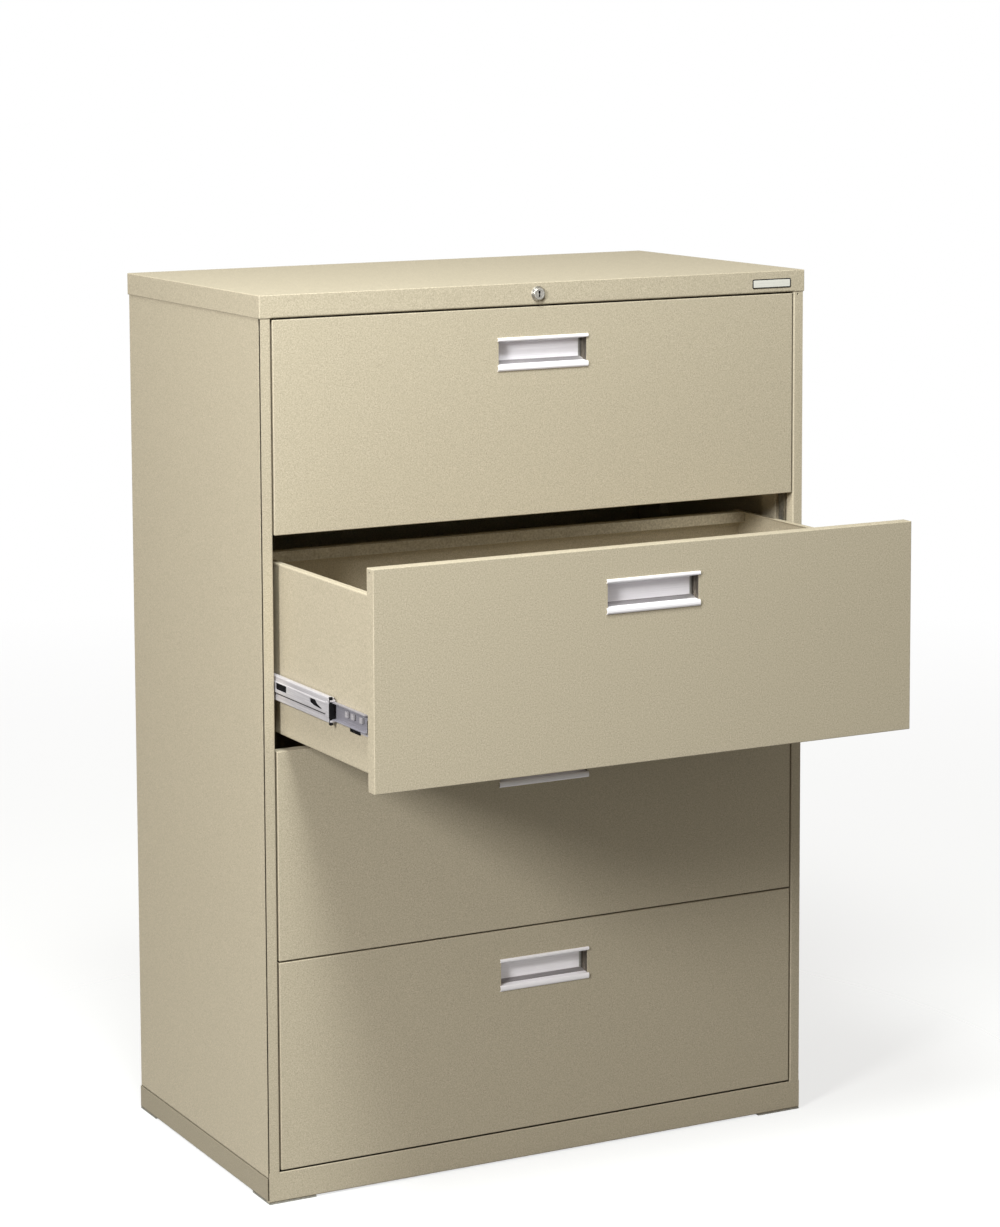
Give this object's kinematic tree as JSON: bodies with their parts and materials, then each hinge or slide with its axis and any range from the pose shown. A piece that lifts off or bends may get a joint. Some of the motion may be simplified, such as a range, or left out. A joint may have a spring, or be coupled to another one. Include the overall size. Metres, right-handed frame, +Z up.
{
  "type": "filing cabinet",
  "caption": "Lateral filing cabinet with full-width sliding drawers on telescopic slides, recessed pulls and a central lock in the header.",
  "frame": {"origin": "on the floor, under the middle of the case", "axes": "+Z up, -Y towards the front, where the drawers open, +X to the right as seen from the front"},
  "size_m": [0.9168, 0.8079, 1.3238],
  "materials": {
    "case_paint": "satin textured powder coat",
    "slide_steel": "bright zinc plate",
    "pull_metal": "satin",
    "lock_metal": "bright",
    "lock_steel": "plain",
    "badge": "satin",
    "black_plastic": "moulded",
    "fastener_steel": "zinc plate",
    "foot_plastic": "moulded"
  },
  "bodies": {
    "case": {"top_cap": "case_paint", "left_side_panel": "case_paint", "right_side_panel": "case_paint", "back_panel": "case_paint", "base_pan": "case_paint", "left_front_post": "case_paint", "right_front_post": "case_paint", "rear_posts": "case_paint", "glide_brackets": "fastener_steel", "badge_plate": "badge", "case_fasteners": "fastener_steel", "lock_housing": "lock_metal", "lock_guides": "lock_steel", "left_case_rails": "slide_steel", "right_case_rails": "slide_steel"},
    "drawer_1": {"drawer_1_front": "case_paint", "drawer_1_liner": "case_paint", "drawer_1_tray": "case_paint", "drawer_1_hanging_rails": "fastener_steel", "drawer_1_pull": "pull_metal", "drawer_1_catch": "lock_steel", "drawer_1_drawer_rails": "slide_steel"},
    "drawer_2": {"drawer_2_front": "case_paint", "drawer_2_liner": "case_paint", "drawer_2_tray": "case_paint", "drawer_2_hanging_rails": "fastener_steel", "drawer_2_pull": "pull_metal", "drawer_2_catch": "lock_steel", "drawer_2_drawer_rails": "slide_steel"},
    "drawer_3": {"drawer_3_front": "case_paint", "drawer_3_liner": "case_paint", "drawer_3_tray": "case_paint", "drawer_3_hanging_rails": "fastener_steel", "drawer_3_pull": "pull_metal", "drawer_3_catch": "lock_steel", "drawer_3_drawer_rails": "slide_steel"},
    "drawer_4": {"drawer_4_front": "case_paint", "drawer_4_liner": "case_paint", "drawer_4_tray": "case_paint", "drawer_4_hanging_rails": "fastener_steel", "drawer_4_pull": "pull_metal", "drawer_4_catch": "lock_steel", "drawer_4_drawer_rails": "slide_steel"},
    "drawer_1_slides": {"drawer_1_middle_rails": "slide_steel", "drawer_1_ball_cages": "black_plastic"},
    "drawer_2_slides": {"drawer_2_middle_rails": "slide_steel", "drawer_2_ball_cages": "black_plastic"},
    "drawer_3_slides": {"drawer_3_middle_rails": "slide_steel", "drawer_3_ball_cages": "black_plastic"},
    "drawer_4_slides": {"drawer_4_middle_rails": "slide_steel", "drawer_4_ball_cages": "black_plastic"},
    "lock": {"lock_plug": "lock_metal", "lock_cam": "lock_steel"},
    "lock_bar": {"lock_bar": "lock_steel"},
    "lock_rod": {"lock_rod": "lock_steel", "lock_lugs": "lock_steel"},
    "front_left_glide": {"front_left_glide": "foot_plastic"},
    "front_right_glide": {"front_right_glide": "foot_plastic"},
    "rear_left_glide": {"rear_left_glide": "foot_plastic"},
    "rear_right_glide": {"rear_right_glide": "foot_plastic"}
  },
  "joints": [
    {"name": "drawer_1_slide", "type": "slide", "parent": "case", "child": "drawer_1", "axis": [0, -1, 0], "range_m": [0, 0.425]},
    {"name": "drawer_2_slide", "type": "slide", "parent": "case", "child": "drawer_2", "axis": [0, -1, 0], "range_m": [-0.315, 0.11]},
    {"name": "drawer_3_slide", "type": "slide", "parent": "case", "child": "drawer_3", "axis": [0, -1, 0], "range_m": [0, 0.425]},
    {"name": "drawer_4_slide", "type": "slide", "parent": "case", "child": "drawer_4", "axis": [0, -1, 0], "range_m": [0, 0.425]},
    {"name": "drawer_1_middle_members", "type": "slide", "parent": "case", "child": "drawer_1_slides", "axis": [0, -1, 0], "range_m": [0, 0.2737]},
    {"name": "drawer_2_middle_members", "type": "slide", "parent": "case", "child": "drawer_2_slides", "axis": [0, -1, 0], "range_m": [-0.20286, 0.07084]},
    {"name": "drawer_3_middle_members", "type": "slide", "parent": "case", "child": "drawer_3_slides", "axis": [0, -1, 0], "range_m": [0, 0.2737]},
    {"name": "drawer_4_middle_members", "type": "slide", "parent": "case", "child": "drawer_4_slides", "axis": [0, -1, 0], "range_m": [0, 0.2737]},
    {"name": "lock_rod_travel", "type": "slide", "parent": "case", "child": "lock_rod", "axis": [0, 0, -1], "range_m": [0, 0.01414]},
    {"name": "lock_bar_travel", "type": "slide", "parent": "case", "child": "lock_bar", "axis": [1, 0, 0], "range_m": [0, 0.0143]},
    {"name": "lock_turn", "type": "hinge", "parent": "case", "child": "lock", "pos_m": [-0.0085, -0.2445, 1.307], "axis": [0, -1, 0], "range_deg": [0, 90]},
    {"name": "front_left_glide_turn", "type": "hinge", "parent": "case", "child": "front_left_glide", "pos_m": [-0.4102, -0.2055, 0], "axis": [0, 0, 1], "continuous": true},
    {"name": "front_right_glide_turn", "type": "hinge", "parent": "case", "child": "front_right_glide", "pos_m": [0.4102, -0.2055, 0], "axis": [0, 0, 1], "continuous": true},
    {"name": "rear_left_glide_turn", "type": "hinge", "parent": "case", "child": "rear_left_glide", "pos_m": [-0.4102, 0.2055, 0], "axis": [0, 0, 1], "continuous": true},
    {"name": "rear_right_glide_turn", "type": "hinge", "parent": "case", "child": "rear_right_glide", "pos_m": [0.4102, 0.2055, 0], "axis": [0, 0, 1], "continuous": true}
  ],
  "couplings": [
    {"joint": "drawer_1_middle_members", "follows": "drawer_1_slide", "ratio": 0.644},
    {"joint": "drawer_2_middle_members", "follows": "drawer_2_slide", "ratio": 0.644},
    {"joint": "drawer_3_middle_members", "follows": "drawer_3_slide", "ratio": 0.644},
    {"joint": "drawer_4_middle_members", "follows": "drawer_4_slide", "ratio": 0.644},
    {"joint": "lock_bar_travel", "follows": "lock_rod_travel", "ratio": 1},
    {"joint": "lock_turn", "follows": "lock_rod_travel", "rad_per_m": 111.07}
  ]
}
